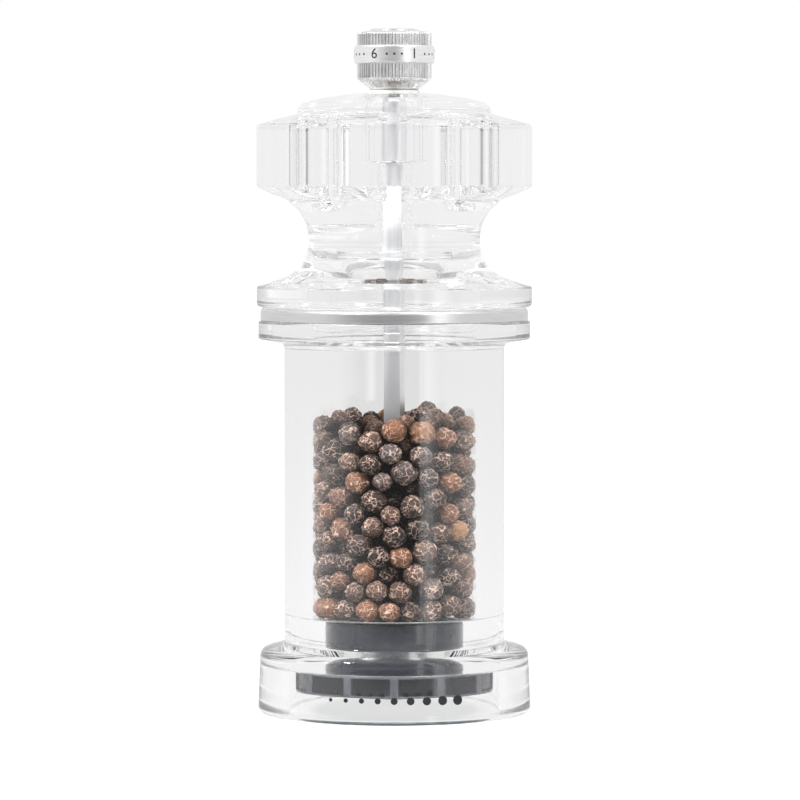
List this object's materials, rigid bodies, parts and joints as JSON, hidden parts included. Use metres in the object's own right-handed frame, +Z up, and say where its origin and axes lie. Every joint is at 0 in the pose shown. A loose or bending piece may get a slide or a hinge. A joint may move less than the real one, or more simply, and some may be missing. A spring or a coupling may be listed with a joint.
{
  "type": "pepper mill",
  "caption": "Clear acrylic pepper mill with a lobed head that turns a square spindle, a burr mechanism in the base and a knurled knob on top that sets the grind.",
  "frame": {"origin": "centre of the flat ring that the mill stands on", "axes": "+Z up along the spindle, -Y towards the front"},
  "size_m": [0.058, 0.058, 0.144],
  "materials": {
    "clear_acrylic": "polished clear acrylic",
    "clear_plate": "moulded clear plastic",
    "satin_trim": "satin silver",
    "knob_chrome": "polished, with fine knurling",
    "black_plastic": "moulded, slightly glossy",
    "teal_plastic": "moulded",
    "burr_steel": "hardened, ground",
    "bright_steel": "drawn and bright zinc plated",
    "spring_steel": "drawn wire",
    "nylon": "natural white nylon",
    "peppercorn": "dry and wrinkled"
  },
  "bodies": {
    "mill_body": {"body_shell": "clear_acrylic", "trim_ring": "satin_trim", "mechanism_housing": "black_plastic", "stator_burr": "burr_steel", "lock_ring": "teal_plastic", "spider_bridge": "black_plastic", "peppercorns": "peppercorn"},
    "drive_seat": {"spring_washer": "bright_steel"},
    "grinder_core": {"spindle": "bright_steel", "rotor_burr": "burr_steel", "feeder_hub": "black_plastic", "spring": "spring_steel", "rotor_washer": "bright_steel", "retaining_nut": "bright_steel"},
    "head": {"acrylic_head": "clear_acrylic", "drive_plate": "clear_plate"},
    "knob": {"knob_shell": "knob_chrome", "knob_band": "knob_chrome", "knob_insert": "bright_steel", "knob_cap": "knob_chrome", "knob_washer": "nylon", "friction_ring": "nylon"}
  },
  "joints": [
    {"name": "head_turn", "type": "hinge", "parent": "mill_body", "child": "drive_seat", "pos_m": [0, 0, 0.0169], "axis": [0, 0, 1], "continuous": true},
    {"name": "grind_gap", "type": "slide", "parent": "drive_seat", "child": "grinder_core", "axis": [0, 0, -1], "range_m": [-0.00017, 0.00122], "deforming": ["spring"]},
    {"name": "head_lift", "type": "slide", "parent": "drive_seat", "child": "head", "axis": [0, 0, 1], "range_m": [0, 0.062]},
    {"name": "knob_turn", "type": "hinge", "parent": "head", "child": "knob", "pos_m": [0, 0, 0.1311], "axis": [0, 0, 1], "range_deg": [-90, 630]}
  ],
  "couplings": [
    {"joint": "knob_turn", "follows": "grind_gap", "rad_per_m": 8976}
  ]
}
